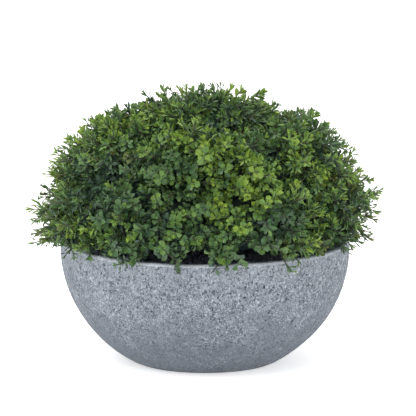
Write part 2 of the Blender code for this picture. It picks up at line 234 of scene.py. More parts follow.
def startMaterial(name):
    material = bpy.data.materials.new(name)
    material.use_nodes = True
    tree = material.node_tree
    return material, tree, tree.nodes["Principled BSDF"]


def useMottling(tree, first, second, scale, amount):
    return addNode(tree, "ShaderNodeGroup", node_tree=mottling, values={
        "First": first, "Second": second, "Scale": scale, "Amount": amount,
    }).outputs["Color"]


def useGrain(tree, shader, scale, smoothest, roughest):
    outputs = addNode(tree, "ShaderNodeGroup", node_tree=fineGrain, values={
        "Scale": scale, "Smoothest": smoothest, "Roughest": roughest,
    }).outputs
    feed(tree, shader.inputs["Roughness"], outputs["Roughness"])
    return outputs["Height"]


def useBump(tree, shader, height, strength, distance):
    values = {"Height": height, "Strength": strength, "Distance": distance}
    normal = addNode(tree, "ShaderNodeBump", values).outputs["Normal"]
    feed(tree, shader.inputs["Normal"], normal)


def weighedSum(tree, pairs):
    # each pair a socket and its share
    (first, share), *rest = pairs
    total = mathNode(tree, "MULTIPLY", first, share)
    for socket, share in rest:
        total = mathNode(tree, "MULTIPLY_ADD", socket, share, total)
    return total


def washOver(tree, body, colour, value, band):
    # band is the value's range, then the cover at its ends
    return mixColours(tree, mapRange(tree, value, *band), body, colour)


def useFinish(tree, shader, body, finish):
    # grain is scale, smoothest and roughest; bump is strength and distance
    feed(tree, shader.inputs["Base Color"], body)
    height = useGrain(tree, shader, *finish["grain"])
    useBump(tree, shader, height, *finish["bump"])
    shader.inputs["Specular IOR Level"].default_value = finish["specular"]


def mottledMaterial(name, finish):
    # mottling is scale and amount
    material, tree, shader = startMaterial(name)
    body = useMottling(tree, *finish["colours"], *finish["mottling"])
    useFinish(tree, shader, body, finish)
    return material


print("shared effects ready")


# the bowl

bowl = {
    "radius": 0.150, "curveHeight": 0.137, "widestZ": 0.119, "height": 0.127, "wall": 0.007,
    "floor": 0.010, "rimRounding": 0.0026, "footRadius": 0.0725, "footEase": 0.0022,
    "columns": 600, "outsideRows": 116, "insideRows": 8, "insideRelief": 0.2,
    "rimRelief": 0.5, "swell": 0.0006, "swellScale": 16.0, "patchScale": 21.0,
    "bend": 0.0035, "bendScale": 80.0, "ridge": 0.00042, "ridgeScale": 210.0,
    "finerScale": 330.0, "pit": 0.00055, "pitScale": 270.0, "rimWobble": 0.0006,
    "bendSeed": 7,
}
bowlFinish = {
    "stone": (0.130, 0.152, 0.184), "cooler": (0.110, 0.130, 0.160),
    "mottling": (24.0, 1.0), "ridges": (0.56, 0.61, 0.68), "pits": (0.016, 0.021, 0.030),
    # the pale lip colour is a painted highlight along the top of the rim
    "sand": (0.42, 0.36, 0.29), "lipHighlight": (0.70, 0.75, 0.82),
    "uprightStretch": (1.0, 1.0, 0.72),
    # scale, detail and roughness
    "patchNoise": (19.0, 4.0, 0.6),
    "sandNoise": (58.0, 6.0, 0.75),
    # detail, roughness and distortion
    "veinNoise": (1.5, 0.5, 0.9),
    # scale and width
    "strokes": (75.0, 0.030),
    "veins": (310.0, 0.040), "fineVeins": (540.0, 0.056),
    # of fine veins, veins, ridges and strokes
    "lightShares": (0.50, 0.50, 0.10, 0.20),
    # of specks, hollows and ridges
    "darkShares": (0.85, 0.54, -0.15),
    # of fine veins, veins, hollows and grain
    "riseShares": (0.4, 0.6, -0.8, 0.25),
    # from and to, then what that gives
    "hollowBand": (0.32, 0.44, 1.0, 0.0),
    "speckBand": (0.32, 0.43, 1.0, 0.0), "heightBand": (0.01, 0.11, -0.14, 0.20),
    # the upper band lightens the wall towards the rim: painted light
    "patchBand": (0.34, 0.74, 0.52, 1.30), "paintedLightUpperBand": (0.095, 0.126, 0.0, 0.22),
    "lipHighlightBand": (0.1236, 0.1250, 0.0, 0.55), "sandBand": (0.66, 0.73, 0.0, 0.55),
    "grain": (900.0, 0.72, 0.9), "bump": (0.8, 0.0010), "specular": 0.35,
}


def bowlRadiusAt(z, inset=0.0):
    rise = (z - bowl["widestZ"]) / (bowl["curveHeight"] - inset)
    return (bowl["radius"] - inset) * math.sqrt(max(0.0, 1.0 - rise * rise))


def wallHeights(low, high, count):
    middle, tall = bowl["widestZ"], bowl["curveHeight"]
    start, end = (math.asin((z - middle) / tall) for z in (low, high))
    return [middle + tall * math.sin(angle) for angle in spaced(start, end, count)]


def bowlProfile():
    # (radius, height, share of the relief), from the middle of the floor inside to that below
    rimLow = bowl["height"] - bowl["rimRounding"]
    rounding = bowl["rimRounding"]
    inside = [(0.0, bowl["floor"], bowl["insideRelief"])]
    for z in wallHeights(bowl["floor"], rimLow, bowl["insideRows"]):
        inside.append((bowlRadiusAt(z, bowl["wall"]), z, bowl["insideRelief"]))
    innerEdge = bowlRadiusAt(rimLow, bowl["wall"]) + rounding
    outerEdge = bowlRadiusAt(rimLow) - rounding
    rim = []
    for edge, first, last in ((innerEdge, 160.0, 90.0), (outerEdge, 90.0, 10.0)):
        for angle in spaced(math.radians(first), math.radians(last), 4):
            out, up = rounding * math.cos(angle), rounding * math.sin(angle)
            rim.append((edge + out, rimLow + up, bowl["rimRelief"]))
    outside = []
    for z in reversed(wallHeights(bowl["footEase"], rimLow, bowl["outsideRows"])):
        outside.append((bowlRadiusAt(z), z, 1.0))
    footEdge = bowlRadiusAt(0.0)
    foot = [(footEdge + 0.0002, 0.0008, 0.3), (footEdge - 0.0012, 0.0, 0.0)]
    foot += [(bowl["footRadius"] * share, 0.0, 0.0) for share in (0.9, 0.5, 0.0)]
    return inside + rim + outside + foot


def stoneRelief(place, tall):
    # how far the cast surface stands out from the turned one, in metres, and how ridged it is
    swell = noise.noise(place * bowl["swellScale"]) * bowl["swell"]
    rough = noise.noise(place * bowl["patchScale"] + Vector((7.0, 3.0, 1.0))) + tall
    patch = 0.25 + 0.75 * smoothStep(-0.3, 0.4, rough)
    bent = place + noise.noise_vector(place * bowl["bendScale"]) * bowl["bend"]
    crossing = abs(noise.noise(bent * bowl["ridgeScale"]))
    finer = abs(noise.noise(bent * bowl["finerScale"] + Vector((4.0, 4.0, 0.0))))
    ridge = 0.6 * (1.0 - smoothStep(0.0, 0.22, crossing))
    ridge += 0.4 * (1.0 - smoothStep(0.0, 0.3, finer))
    pit = smoothStep(0.34, 0.60, noise.noise(bent * bowl["pitScale"] + Vector((1.0, 9.0, 4.0))))
    out = swell + patch * (ridge * bowl["ridge"] - pit * bowl["pit"])
    return out, patch * (ridge - 0.9 * pit)


def makeBowlMesh():
    # noise_vector would else take its seed from the clock
    noise.seed_set(bowl["bendSeed"])
    rows = bowlProfile()
    columns = bowl["columns"]
    slopes = []
    for i, row in enumerate(rows):
        before, after = rows[max(i - 1, 0)], rows[min(i + 1, len(rows) - 1)]
        run, rise = after[0] - before[0], after[1] - before[1]
        length = math.hypot(run, rise) or 1.0
        slopes.append((-rise / length, run / length))
    points, faces, rings, ridged = [], [], [], []
    for (radius, z, share), (outX, outZ) in zip(rows, slopes):
        if radius == 0.0:
            rings.append([len(points)] * columns)
            points.append((0.0, 0.0, z))
            ridged.append(0.0)
            continue
        rings.append(list(range(len(points), len(points) + columns)))
        for k in range(columns):
            turn = 2.0 * math.pi * k / columns
            around = Vector((math.cos(turn), math.sin(turn), 0.0))
            place = around * radius + Vector((0.0, 0.0, z))
            tall = 0.7 * smoothStep(0.02, 0.10, z) - 0.35
            out, ridge = stoneRelief(place, tall)
            out *= share
            lift = 0.0
            if z > bowl["height"] - bowl["rimRounding"]:
                lift = noise.noise(around * 5.0) * bowl["rimWobble"]
            points.append(place + around * outX * out + Vector((0.0, 0.0, outZ * out + lift)))
            ridged.append(ridge * share)
    for upper, lower in zip(rings, rings[1:]):
        for k in range(columns):
            n = (k + 1) % columns
            corners = [upper[k], lower[k], lower[n], upper[n]]
            corners = [c for j, c in enumerate(corners) if c != corners[j - 1]]
            if len(corners) > 2:
                faces.append(tuple(reversed(corners)))
    mesh = meshFromLists("bowl_shell", points, faces)
    mesh.attributes.new("ridged", "FLOAT", "POINT").data.foreach_set("value", ridged)
    return mesh


def makeVeins(tree, place, scale, width):
    # thin wandering lines, where a noise passes its middle value
    field = noiseOver(tree, place, scale, *bowlFinish["veinNoise"])
    off = mathNode(tree, "ABSOLUTE", mathNode(tree, "SUBTRACT", field, 0.5))
    return mapRange(tree, off, 0.0, width, 1.0, 0.0), field


def makeStone(look):
    material, tree, shader = startMaterial("castStone")
    place = objectPlace(tree)
    values = {"Vector": place, "Scale": look["uprightStretch"]}
    upright = addNode(tree, "ShaderNodeMapping", values).outputs["Vector"]
    ridged = addNode(tree, "ShaderNodeAttribute", attribute_name="ridged").outputs["Fac"]
    patches = noiseOver(tree, place, *look["patchNoise"])
    z = addNode(tree, "ShaderNodeSeparateXYZ", {0: place}).outputs["Z"]
    upper = mapRange(tree, z, *look["heightBand"])
    patchy = mathNode(tree, "ADD", patches, upper)
    where = mapRange(tree, patchy, *look["patchBand"])
    strokes, _ = makeVeins(tree, upright, *look["strokes"])
    veins, field = makeVeins(tree, upright, *look["veins"])
    fineVeins, grain = makeVeins(tree, upright, *look["fineVeins"])
    light = weighedSum(tree, zip((fineVeins, veins, ridged, strokes), look["lightShares"]))
    light = mathNode(tree, "MULTIPLY", light, where, clamp=True)
    hollow = mapRange(tree, field, *look["hollowBand"])
    speck = mapRange(tree, grain, *look["speckBand"])
    dark = weighedSum(tree, zip((speck, hollow, ridged), look["darkShares"]))
    dark = mathNode(tree, "MULTIPLY", dark, where, clamp=True)
    base = useMottling(tree, look["stone"], look["cooler"], *look["mottling"])
    # the wall washed lighter towards the rim: painted light on the upper bowl
    base = washOver(tree, base, look["ridges"], z, look["paintedLightUpperBand"])
    body = mixColours(tree, dark, base, look["pits"])
    body = mixColours(tree, light, body, look["ridges"])
    # a pale band along the top of the rim: painted highlight
    body = washOver(tree, body, look["lipHighlight"], z, look["lipHighlightBand"])
    sand = noiseOver(tree, place, *look["sandNoise"])
    body = washOver(tree, body, look["sand"], sand, look["sandBand"])
    feed(tree, shader.inputs["Base Color"], body)
    grains = useGrain(tree, shader, *look["grain"])
    raised = (fineVeins, veins, hollow, grains)
    rise = weighedSum(tree, zip(raised, look["riseShares"]))
    useBump(tree, shader, rise, *look["bump"])
    shader.inputs["Specular IOR Level"].default_value = look["specular"]
    return material


placePiece("bowl_shell", makeBowlMesh(), makeStone(bowlFinish), ["bowl"])
print("bowl cast")


# the potting fill

fill = {
    "edgeZ": 0.1172, "centreZ": 0.1202, "bottomZ": 0.1, "inset": 0.0004, "rings": 60,
    "columns": 200, "lump": 0.0016, "highest": 0.0018, "grit": 2600, "gritReach": 0.985,
    "gritLift": 0.0002, "gritSize": (0.0006, 0.0017),
}
fillFinish = {
    # colours paler than the dark fill itself: painted light that makes up for the crown's shade
    # over it
    "colours": ((0.17, 0.20, 0.26), (0.50, 0.55, 0.63)),
    "mottling": (420.0, 0.75), "grain": (1500.0, 0.85, 1.0), "bump": (0.8, 0.0008),
    "specular": 0.25,
}


def fillHeight(x, y):
    share = math.hypot(x, y) / bowlRadiusAt(fill["edgeZ"], bowl["wall"])
    dome = fill["centreZ"] - (fill["centreZ"] - fill["edgeZ"]) * share * share
    place = Vector((x, y, 0.0))
    return dome + fill["lump"] * (noise.noise(place * 90.0) + 0.5 * noise.noise(place * 260.0))


def makeFillMesh(rng):
    outer = bowlRadiusAt(fill["edgeZ"], bowl["wall"]) - fill["inset"]
    points, faces = [(0.0, 0.0, fillHeight(0.0, 0.0))], []
    columns = fill["columns"]
    for i in range(1, fill["rings"] + 1):
        radius = outer * i / fill["rings"]
        for k in range(columns):
            turn = 2.0 * math.pi * k / columns
            x, y = radius * math.cos(turn), radius * math.sin(turn)
            points.append((x, y, min(fillHeight(x, y), fill["centreZ"] + fill["highest"])))
    low = bowlRadiusAt(fill["bottomZ"], bowl["wall"]) - fill["inset"]
    for k in range(columns):
        turn = 2.0 * math.pi * k / columns
        points.append((low * math.cos(turn), low * math.sin(turn), fill["bottomZ"]))
    for k in range(columns):
        n = (k + 1) % columns
        faces.append((0, 1 + k, 1 + n))
        for i in range(fill["rings"]):
            a = 1 + i * columns
            faces.append((a + k, a + columns + k, a + columns + n, a + n))
    last = len(points) - columns
    faces.append(tuple(last + k for k in reversed(range(columns))))
    for _ in range(fill["grit"]):
        radius = outer * fill["gritReach"] * math.sqrt(rng.random())
        turn = rng.uniform(0.0, 2.0 * math.pi)
        x, y = radius * math.cos(turn), radius * math.sin(turn)
        addChip(points, faces, Vector((x, y, fillHeight(x, y) + fill["gritLift"])), rng)
    return meshFromLists("potting_moss", points, faces, smooth=False)


def addChip(points, faces, centre, rng):
    # an eight-sided crumb, sunk a little way in
    start = len(points)
    for axis in (Vector((1, 0, 0)), Vector((0, 1, 0)), Vector((0, 0, 1))):
        for sign in (-1.0, 1.0):
            jitter = Vector((rng.uniform(-0.3, 0.3), rng.uniform(-0.3, 0.3), 0.0))
            points.append(centre + (axis * sign + jitter) * rng.uniform(*fill["gritSize"]))
    for a, b in ((0, 2), (2, 1), (1, 3), (3, 0)):
        faces.append((start + a, start + b, start + 4))
    for a, b in ((2, 0), (1, 2), (3, 1), (0, 3)):
        faces.append((start + a, start + b, start + 5))


moss = mottledMaterial("pottingMoss", fillFinish)
placePiece("potting_moss", makeFillMesh(random.Random(3)), moss, ["potting_fill"])
print("potting fill laid")


# the crown's spaces, by the same rule as the solids

crown = {
    "centre": Vector((0.0, 0.0, 0.1675)),
    "radius": 0.180, "halfHeight": 0.121, "crease": 0.07,
    # name, count, elevation, first azimuth and reach
    "rings": [
        ("top", 1, 90.0, 0.0, 1.0),
        ("upper", 5, 33.0, -90.0, 1.0),
        ("lower", 8, -6.0, -112.5, 1.05),
    ],
    "rimClearance": 0.0025, "overhang": 0.009, "frontLift": 0.010, "lowerFrontLift": 2.6,
    # azimuth, elevation and radius in degrees, and how much further the leaves reach there
    "swells": [
        (0.0, 46.0, 15.0, 0.035), (0.0, 24.0, 11.0, -0.07), (0.0, 1.0, 9.0, 0.02),
        (0.0, 60.0, 10.0, -0.04), (0.0, -20.0, 19.0, -0.12), (90.0, 90.0, 12.0, 0.04),
        (180.0, 8.0, 18.0, -0.14), (180.0, -21.0, 10.0, 0.10), (180.0, 49.0, 9.0, 0.08),
        (180.0, 28.0, 10.0, -0.06), (180.0, 66.0, 10.0, 0.02),
    ],
    # azimuth and half width in degrees of the tufts that hang over the front of the rim
    "tufts": [
        (-142.0, 7.5), (-121.5, 8.0), (-101.5, 4.0),
        (-84.0, 5.5), (-57.0, 4.0), (-41.0, 10.0),
    ],
    "boughEnd": 0.40, "head": 0.58, "fork": 0.42,
}


def atShare(direction, share):
    return crown["centre"] + Vector((
        direction.x * share * crown["radius"],
        direction.y * share * crown["radius"],
        direction.z * share * crown["halfHeight"],
    ))


def squashedBack(offset):
    return Vector((
        offset.x / crown["radius"], offset.y / crown["radius"], offset.z / crown["halfHeight"],
    ))


def unstretched(point):
    return squashedBack(point - crown["centre"])


def ballDirection(elevation, azimuth):
    up, around = math.radians(elevation), math.radians(azimuth)
    return Vector((math.cos(up) * math.cos(around), math.cos(up) * math.sin(around), math.sin(up)))


def layOutMasses():
    masses = []
    for ring, count, elevation, firstAzimuth, reach in crown["rings"]:
        for i in range(count):
            name = ring if count == 1 else f"{ring}_{i + 1}"
            direction = ballDirection(elevation, firstAzimuth + 360.0 * i / count)
            masses.append({"name": name, "direction": direction, "reach": reach})
    for index, mass in enumerate(masses):
        mass["index"] = index
        mass["slopes"] = [
            squashedBack(mass["direction"] - other["direction"]).normalized()
            for other in masses if other is not mass
        ]
    return masses


masses = layOutMasses()
massDirections = np.array([mass["direction"][:] for mass in masses])


def anglesToMasses(direction):
    return np.arccos(np.clip(massDirections @ np.array(direction.normalized()), -1.0, 1.0))


def addPlaces(value, direction, places, core):
    # each adds its amount within the core's share of its radius, and less beyond that
    for azimuth, elevation, radius, amount in places:
        off = math.degrees(direction.angle(ballDirection(elevation, azimuth)))
        value += amount * (1.0 - smoothStep(core * radius, radius, off))
    return value


def outlineShare(mass, direction):
    # how far the foliage reaches: full amid the mass, less at a crease
    angles = anglesToMasses(direction)
    own = angles[mass["index"]]
    angles[mass["index"]] = math.inf
    reach = mass["reach"] * (1.0 - crown["crease"] * min(1.0, own / angles.min()) ** 3)
    return addPlaces(reach, direction, crown["swells"], 0.3)


def clearOfBowl(point, lifted=1.0):
    # above the rim, or a little below it outside; the front hangs higher but for its tufts
    around = math.hypot(point.x, point.y)
    azimuth = math.degrees(math.atan2(point.y, point.x))
    for place, half in crown["tufts"]:
        lifted *= smoothStep(0.7 * half, 1.1 * half, abs(azimuth - place))
    lift = lifted * crown["frontLift"] * max(0.0, -point.y / around) ** 2 if around > 0.0 else 0.0
    if around > bowl["radius"] + crown["rimClearance"]:
        return point.z > bowl["height"] - crown["overhang"] + crown["lowerFrontLift"] * lift
    return point.z > bowl["height"] + crown["rimClearance"] * min(1.0, 0.4 + lifted) + lift


def intoSpace(mass, point):
    offset = point - crown["centre"]
    return min(offset.dot(slope) for slope in mass["slopes"])


# stem and boughs

limbs = {
    "foot": 0.1208, "stemTop": 0.180, "baseRadius": 0.014, "stemRadius": 0.009,
    "stemTopRadius": 0.0068, "flareRate": 9.0, "boughRadius": 0.0032,
    "boughTipRadius": 0.0022, "bow": 0.003, "lowerZ": 0.1545, "upperZ": 0.1705,
    "gap": 0.0003, "barkDepth": 0.0005,
}
barkFinish = {
    "colours": ((0.075, 0.060, 0.030), (0.060, 0.075, 0.026)),
    "mottling": (150.0, 0.9), "grain": (1100.0, 0.55, 0.8), "bump": (0.5, 0.0004),
    "specular": 0.5,
}


def stemRadiusAt(z):
    share = (z - limbs["foot"]) / (limbs["stemTop"] - limbs["foot"])
    taper = limbs["stemRadius"] + (limbs["stemTopRadius"] - limbs["stemRadius"]) * share
    flare = (limbs["baseRadius"] - limbs["stemRadius"]) * math.exp(-limbs["flareRate"] * share)
    return taper + flare


def bowed(start, end, count):
    sag = Vector((0.0, 0.0, limbs["bow"]))
    return [start.lerp(end, t) - sag * math.sin(math.pi * t) for t in spaced(0.0, 1.0, count)]


def boughLine(mass, count=5):
    end = atShare(mass["direction"], crown["boughEnd"])
    if mass["name"] == "top":
        return bowed(Vector((0.0, 0.0, limbs["stemTop"] + limbs["gap"])), end, count)
    z = limbs["upperZ"] if end.z > crown["centre"].z else limbs["lowerZ"]
    level = Vector((end.x, end.y, 0.0)).normalized()
    skin = Vector((0.0, 0.0, z)) + level * (stemRadiusAt(z) + limbs["gap"])
    first = bowed(skin, end, 5)
    tilt = abs((first[1] - first[0]).normalized().z)
    return bowed(skin + level * limbs["boughRadius"] * tilt, end, count)


def barkRing(base, salt):
    # the radius round a ring of bark, ridged along the limb
    def reach(turn, i):
        place = Vector((math.cos(turn) * 2.0, math.sin(turn) * 2.0, i * 0.18 + salt))
        return base + limbs["barkDepth"] * min(1.0, base / 0.004) * noise.noise(place * 1.6)
    return reach


def makeLimbMesh():
    points, faces = [], []
    levels = spaced(limbs["foot"], limbs["stemTop"], 40)
    path = [Vector((0.0, 0.0, z)) for z in levels]
    addTube(points, faces, path, [barkRing(stemRadiusAt(z) - 0.0003, 0.0) for z in levels], 28)
    for mass in masses:
        path = boughLine(mass, 18)
        radii = spaced(limbs["boughRadius"] - 0.0002, limbs["boughTipRadius"], len(path))
        addTube(points, faces, path, [barkRing(r, mass["index"] * 3.7 + 5.0) for r in radii], 14)
    return meshFromLists("stem_bark", points, faces)


bark = mottledMaterial("bark", barkFinish)
placePiece("stem_bark", makeLimbMesh(), bark, limbNodes)
print("stem and boughs barked")


# shoots: the source's pairs of shoots on each mass's stem, then finer twigs from those

growth = {
    "mainShoots": 228, "mainShare": (0.95, 0.99),
    "longShare": (0.99, 1.02),  # of one in six
    "fineShoots": 5200,
    "shares": {"fine": (0.83, 0.945), "long": (0.965, 1.02), "deep": (0.76, 0.89)},
    "longChance": 0.16, "tipSetback": 0.0045, "branchBack": 1.15, "wander": 0.22,
    "lift": 0.16, "leafReach": 1.045, "pathPoints": 7, "mainRadii": (0.0011, 0.00055),
    "fineRadii": (0.0008, 0.00042), "spaceSpare": 0.009,
}


def spiralDirections(count, rng, jitter):
    golden = math.pi * (3.0 - math.sqrt(5.0))
    for i in range(count):
        z = 1.0 - 2.0 * (i + 0.5) / count
        level = math.sqrt(1.0 - z * z)
        direction = Vector((level * math.cos(golden * i), level * math.sin(golden * i), z))
        if jitter:
            direction += Vector([rng.gauss(0.0, jitter) for _ in range(3)])
        yield direction.normalized()


def curve(start, bend, end, count):
    return [
        start * (1.0 - t) ** 2 + bend * (2.0 * t * (1.0 - t)) + end * t * t
        for t in spaced(0.0, 1.0, count)
    ]


def growMainShoots(rng):
    dealt = {mass["name"]: [] for mass in masses}
    for direction in spiralDirections(growth["mainShoots"], rng, 0.0):
        dealt[masses[int(anglesToMasses(direction).argmin())]["name"]].append(direction)
    stems, shoots = [], []
    for mass in masses:
        foot = atShare(mass["direction"], crown["boughEnd"])
        head = atShare(mass["direction"], crown["head"])
        rise = (foot - boughLine(mass)[-2]).normalized()
        stems.append(([foot + rise * 2.0 * limbs["gap"], head], (0.0021, 0.0019)))
        middle = atShare(mass["direction"], 1.0)
        axis = (middle - atShare(mass["direction"], 0.0)).normalized()
        level = axis.orthogonal().normalized()
        beyond = axis.cross(level)

        def bearing(direction):
            offset = atShare(direction, 1.0) - middle
            return math.atan2(offset.dot(beyond), offset.dot(level))

        ends = []
        for direction in sorted(dealt[mass["name"]], key=bearing):
            isLong = rng.random() < 1.0 / 6.0
            reach = rng.uniform(*growth["longShare" if isLong else "mainShare"])
            share = outlineShare(mass, direction) * reach
            tip = atShare(direction, share)
            end = tip - (tip - head).normalized() * growth["tipSetback"]
            way = [head.lerp(end, t) for t in spaced(0.0, 1.0, 14)]
            if all(clearOfBowl(point) for point in way):
                ends.append((direction, end))
        for i in range(0, len(ends), 2):
            pair = ends[i:i + 2]
            fork = head.lerp(sum((end for _, end in pair), Vector()) / len(pair), crown["fork"])
            stems.append(([head, fork], (0.0019, 0.0012)))
            for direction, end in pair:
                bend = fork.lerp(end, 0.5) + Vector([rng.gauss(0.0, 0.0016) for _ in range(3)])
                shoots.append({
                    "mass": mass, "direction": direction, "kind": "main", "share": 0.98,
                    "path": curve(fork, bend, end, growth["pathPoints"]), "lifted": 0.9,
                })
    return stems, shoots


def growFineShoots(mainShoots, rng):
    byMass = {}
    for shoot in mainShoots:
        byMass.setdefault(shoot["mass"]["name"], []).append(shoot)
    shoots = []
    for i, direction in enumerate(spiralDirections(growth["fineShoots"], rng, 0.02)):
        mass = masses[int(anglesToMasses(direction).argmin())]
        parents = byMass.get(mass["name"])
        if not parents:
            continue
        parent = max(parents, key=lambda shoot: shoot["direction"].dot(direction))
        kind = "deep" if i % 2 else "long" if rng.random() < growth["longChance"] else "fine"
        low, high = growth["shares"][kind]
        share = high - (high - low) * rng.random() ** 1.25
        tip = atShare(direction, outlineShare(mass, direction) * share)
        line = parent["path"]
        beside = (tip - line[-1]).length
        if kind != "deep" and beside < 0.004:
            continue
        length = (line[-1] - line[0]).length
        back = min(0.92, max(0.12, beside * growth["branchBack"] / length + 0.1 * rng.random()))
        place = (1.0 - back) * (len(line) - 1)
        k = min(int(place), len(line) - 2)
        start = line[k].lerp(line[k + 1], place - k)
        heading = (line[k + 1] - line[k]).normalized()
        wander = Vector([rng.gauss(0.0, growth["wander"]) for _ in range(3)])
        outward = ((tip - crown["centre"]).normalized() + wander).normalized()
        outward = (outward + Vector((0.0, 0.0, growth["lift"]))).normalized()
        end = tip - outward * growth["tipSetback"]
        span = (end - start).length
        bend = (start + heading * span * 0.35).lerp(end - outward * span * 0.5, 0.6)
        path = curve(start, bend, end, growth["pathPoints"])
        lifted = rng.uniform(0.9, 1.4) if rng.random() < 0.9 else 0.5
        if all(clearOfBowl(point, lifted) for point in path[2:]) and intoSpace(mass, end) > -0.002:
            shoots.append({
                "mass": mass, "direction": direction, "kind": kind, "share": share,
                "path": path, "lifted": lifted,
            })
    return shoots


rng = random.Random(11)
stems, mainShoots = growMainShoots(rng)
fineShoots = growFineShoots(mainShoots, rng)
print("shoots grown:", len(mainShoots), "main and", len(fineShoots), "fine")


# leaves

leaf = {
    "length": 0.0088, "width": 0.0061, "narrowWidth": 0.0026,
    "rows": (0.0, 0.11, 0.33, 0.58, 0.79, 0.93, 1.0),
    "spoon": (0.13, 0.18, 0.50, 0.90, 1.0, 0.76, 0.26),
    "lance": (0.20, 0.44, 0.92, 1.0, 0.70, 0.32, 0.04),
    "columns": (-1.0, -0.55, 0.0, 0.55, 1.0), "cup": (0.40, 0.90), "droop": (-0.18, 0.08),
    "fold": 0.18,
    # below the tip, spread from the shoot in degrees, size
    "pairs": (
        (0.0002, 18.0, 0.42),
        (0.0016, 40.0, 0.70),
        (0.0042, 57.0, 0.95),
        (0.0080, 66.0, 1.02),
        (0.0122, 73.0, 1.0),
        (0.0168, 79.0, 0.97),
        (0.0218, 84.0, 0.94),
        (0.0272, 88.0, 0.90),
    ),
    "openness": (0.80, 1.15), "narrowOpenness": (0.62, 0.92), "stretch": (0.9, 1.25),
    "pairCount": {"main": 8, "long": 7, "fine": 6, "deep": 4},
    # pairs lower than plainBelow, narrow leaves and deep shoots get the plainer blade
    "plainBelow": 4,
    "plainRows": (0, 3, 5, 6), "plainColumns": (0, 2, 4), "rootOffset": 0.0003,
    "widestOpening": 95.0, "rustyChance": 0.22,
    # narrower towards the sides and the top, in patches and by chance
    "narrowTop": 0.18,
    "narrowPatches": (4.3, 0.4), "narrowBand": (0.30, 0.80), "narrowLonger": 0.20,
    "deepNarrowMost": 0.3, "youngShare": 0.6, "youngSlim": 0.5,
    # how far chance moves each of them
    "vary": {
        "narrow": 0.1, "size": 0.10, "angle": 0.14, "opening": 7.0, "roll": 0.18, "turn": 0.08,
        "below": (0.92, 1.08), "length": (0.92, 1.08), "width": (0.92, 1.06),
    },
    # of a leaf that is a tint lighter, and of one that isn't its shoot's tint
    "oddChances": (0.04, 0.10),
}
tints = {
    # what the leaf's face is painted, and the paler colour of its edge, a painted highlight where
    # the cupped rim catches the light; the underside takes in some of the edge colour too
    "deep": ((0.052, 0.096, 0.064), (0.080, 0.144, 0.074)),
    "shade": ((0.060, 0.119, 0.050), (0.112, 0.195, 0.060)),
    "mid": ((0.079, 0.156, 0.055), (0.152, 0.252, 0.060)),
    "fresh": ((0.118, 0.216, 0.047), (0.218, 0.335, 0.056)),
    "lime": ((0.184, 0.294, 0.044), (0.285, 0.395, 0.062)),
    "olive": ((0.094, 0.124, 0.032), (0.176, 0.210, 0.060)),
}
tintOrder = ["deep", "shade", "mid", "fresh", "lime"]
toning = {
    "middle": 0.43,
    # scale of the noise and how much it changes the tone
    "broad": (3.1, 0.24),
    # the outward tone darkens the shoots deeper in the crown: painted shade
    "patchy": (9.0, 0.17), "scatter": 0.08, "outward": 2.1, "paintedShadeFrom": 0.94,
    # the top tone lightens the upper crown, painted light, and the below tone darkens its
    # underside, painted shade
    "top": 0.06, "below": 0.10, "oliveBand": (0.25, 0.6), "oliveChance": 0.05,
    "oliveAtSides": 0.34,
}
# azimuth, elevation and radius in degrees, and the amount, of the places where the leaves are
# toned lighter, or darker where the amount is less than none
tonedPlaces = [
    (-84.0, 12.0, 34.0, 0.20), (-142.0, -4.0, 20.0, 0.16), (-45.0, -4.0, 20.0, 0.16),
    (-118.0, 48.0, 18.0, 0.22), (-153.0, 66.0, 18.0, 0.26), (-147.0, 40.0, 15.0, 0.26),
    (-95.0, 57.0, 14.0, 0.14), (-83.0, 40.0, 16.0, 0.26), (-68.0, 24.0, 15.0, 0.32),
    (-80.0, 7.0, 12.0, 0.20), (-42.0, 29.0, 17.0, 0.28), (-33.0, 17.0, 10.0, 0.22),
    (-50.0, -2.0, 10.0, 0.30), (-117.0, -1.0, 9.0, 0.18), (-159.0, -5.0, 11.0, 0.12),
    (-110.0, 33.0, 15.0, -0.22), (-61.0, 3.0, 13.0, -0.30), (-139.0, 12.0, 15.0, -0.28),
    (-116.0, 11.0, 9.0, -0.18), (-108.0, 1.0, 9.0, -0.14), (-93.0, 0.0, 8.0, -0.14),
    (-72.0, -9.0, 13.0, -0.16), (20.0, 20.0, 28.0, 0.20), (95.0, 8.0, 32.0, 0.24),
    (160.0, 30.0, 24.0, 0.20), (60.0, 60.0, 20.0, 0.18), (180.0, -10.0, 20.0, 0.16),
]


def pickTint(direction, share, rng):
    # darker the deeper a shoot sits in the crown and under the crown, lighter on its top, all
    # painted shade and light; lighter or darker at the toned places
    broadScale, broad = toning["broad"]
    patchyScale, patchy = toning["patchy"]
    wide = noise.noise(direction * broadScale + Vector((5.0, 1.0, 2.0)))
    tone = toning["middle"] + broad * wide
    tone += patchy * noise.noise(direction * patchyScale) + rng.gauss(0.0, toning["scatter"])
    # painted shade on shoots deeper in the crown, painted light on its top and painted shade under
    # it
    outward = toning["outward"] * (share - toning["paintedShadeFrom"])
    tone += outward + toning["top"] * smoothStep(0.5, 1.0, direction.z)
    tone -= toning["below"] * smoothStep(0.15, 0.4, -direction.z)
    tone = addPlaces(tone, direction, tonedPlaces, 0.5)
    low, high = toning["oliveBand"]
    chance = toning["oliveChance"] + toning["oliveAtSides"] * direction.x ** 4
    if low < tone < high and rng.random() < chance:
        return "olive"
    return tintOrder[int(min(4.0, max(0.0, tone * 5.0)))]


def shifted(tint, steps):
    if tint == "olive":
        return "fresh" if steps > 0 else "shade"
    return tintOrder[min(len(tintOrder) - 1, max(0, tintOrder.index(tint) + steps))]


def pointBelowTip(path, distance):
    for i in range(len(path) - 1, 0, -1):
        step = (path[i] - path[i - 1]).length
        if distance <= step:
            return path[i].lerp(path[i - 1], distance / step), (path[i] - path[i - 1]).normalized()
        distance -= step
    return None, None


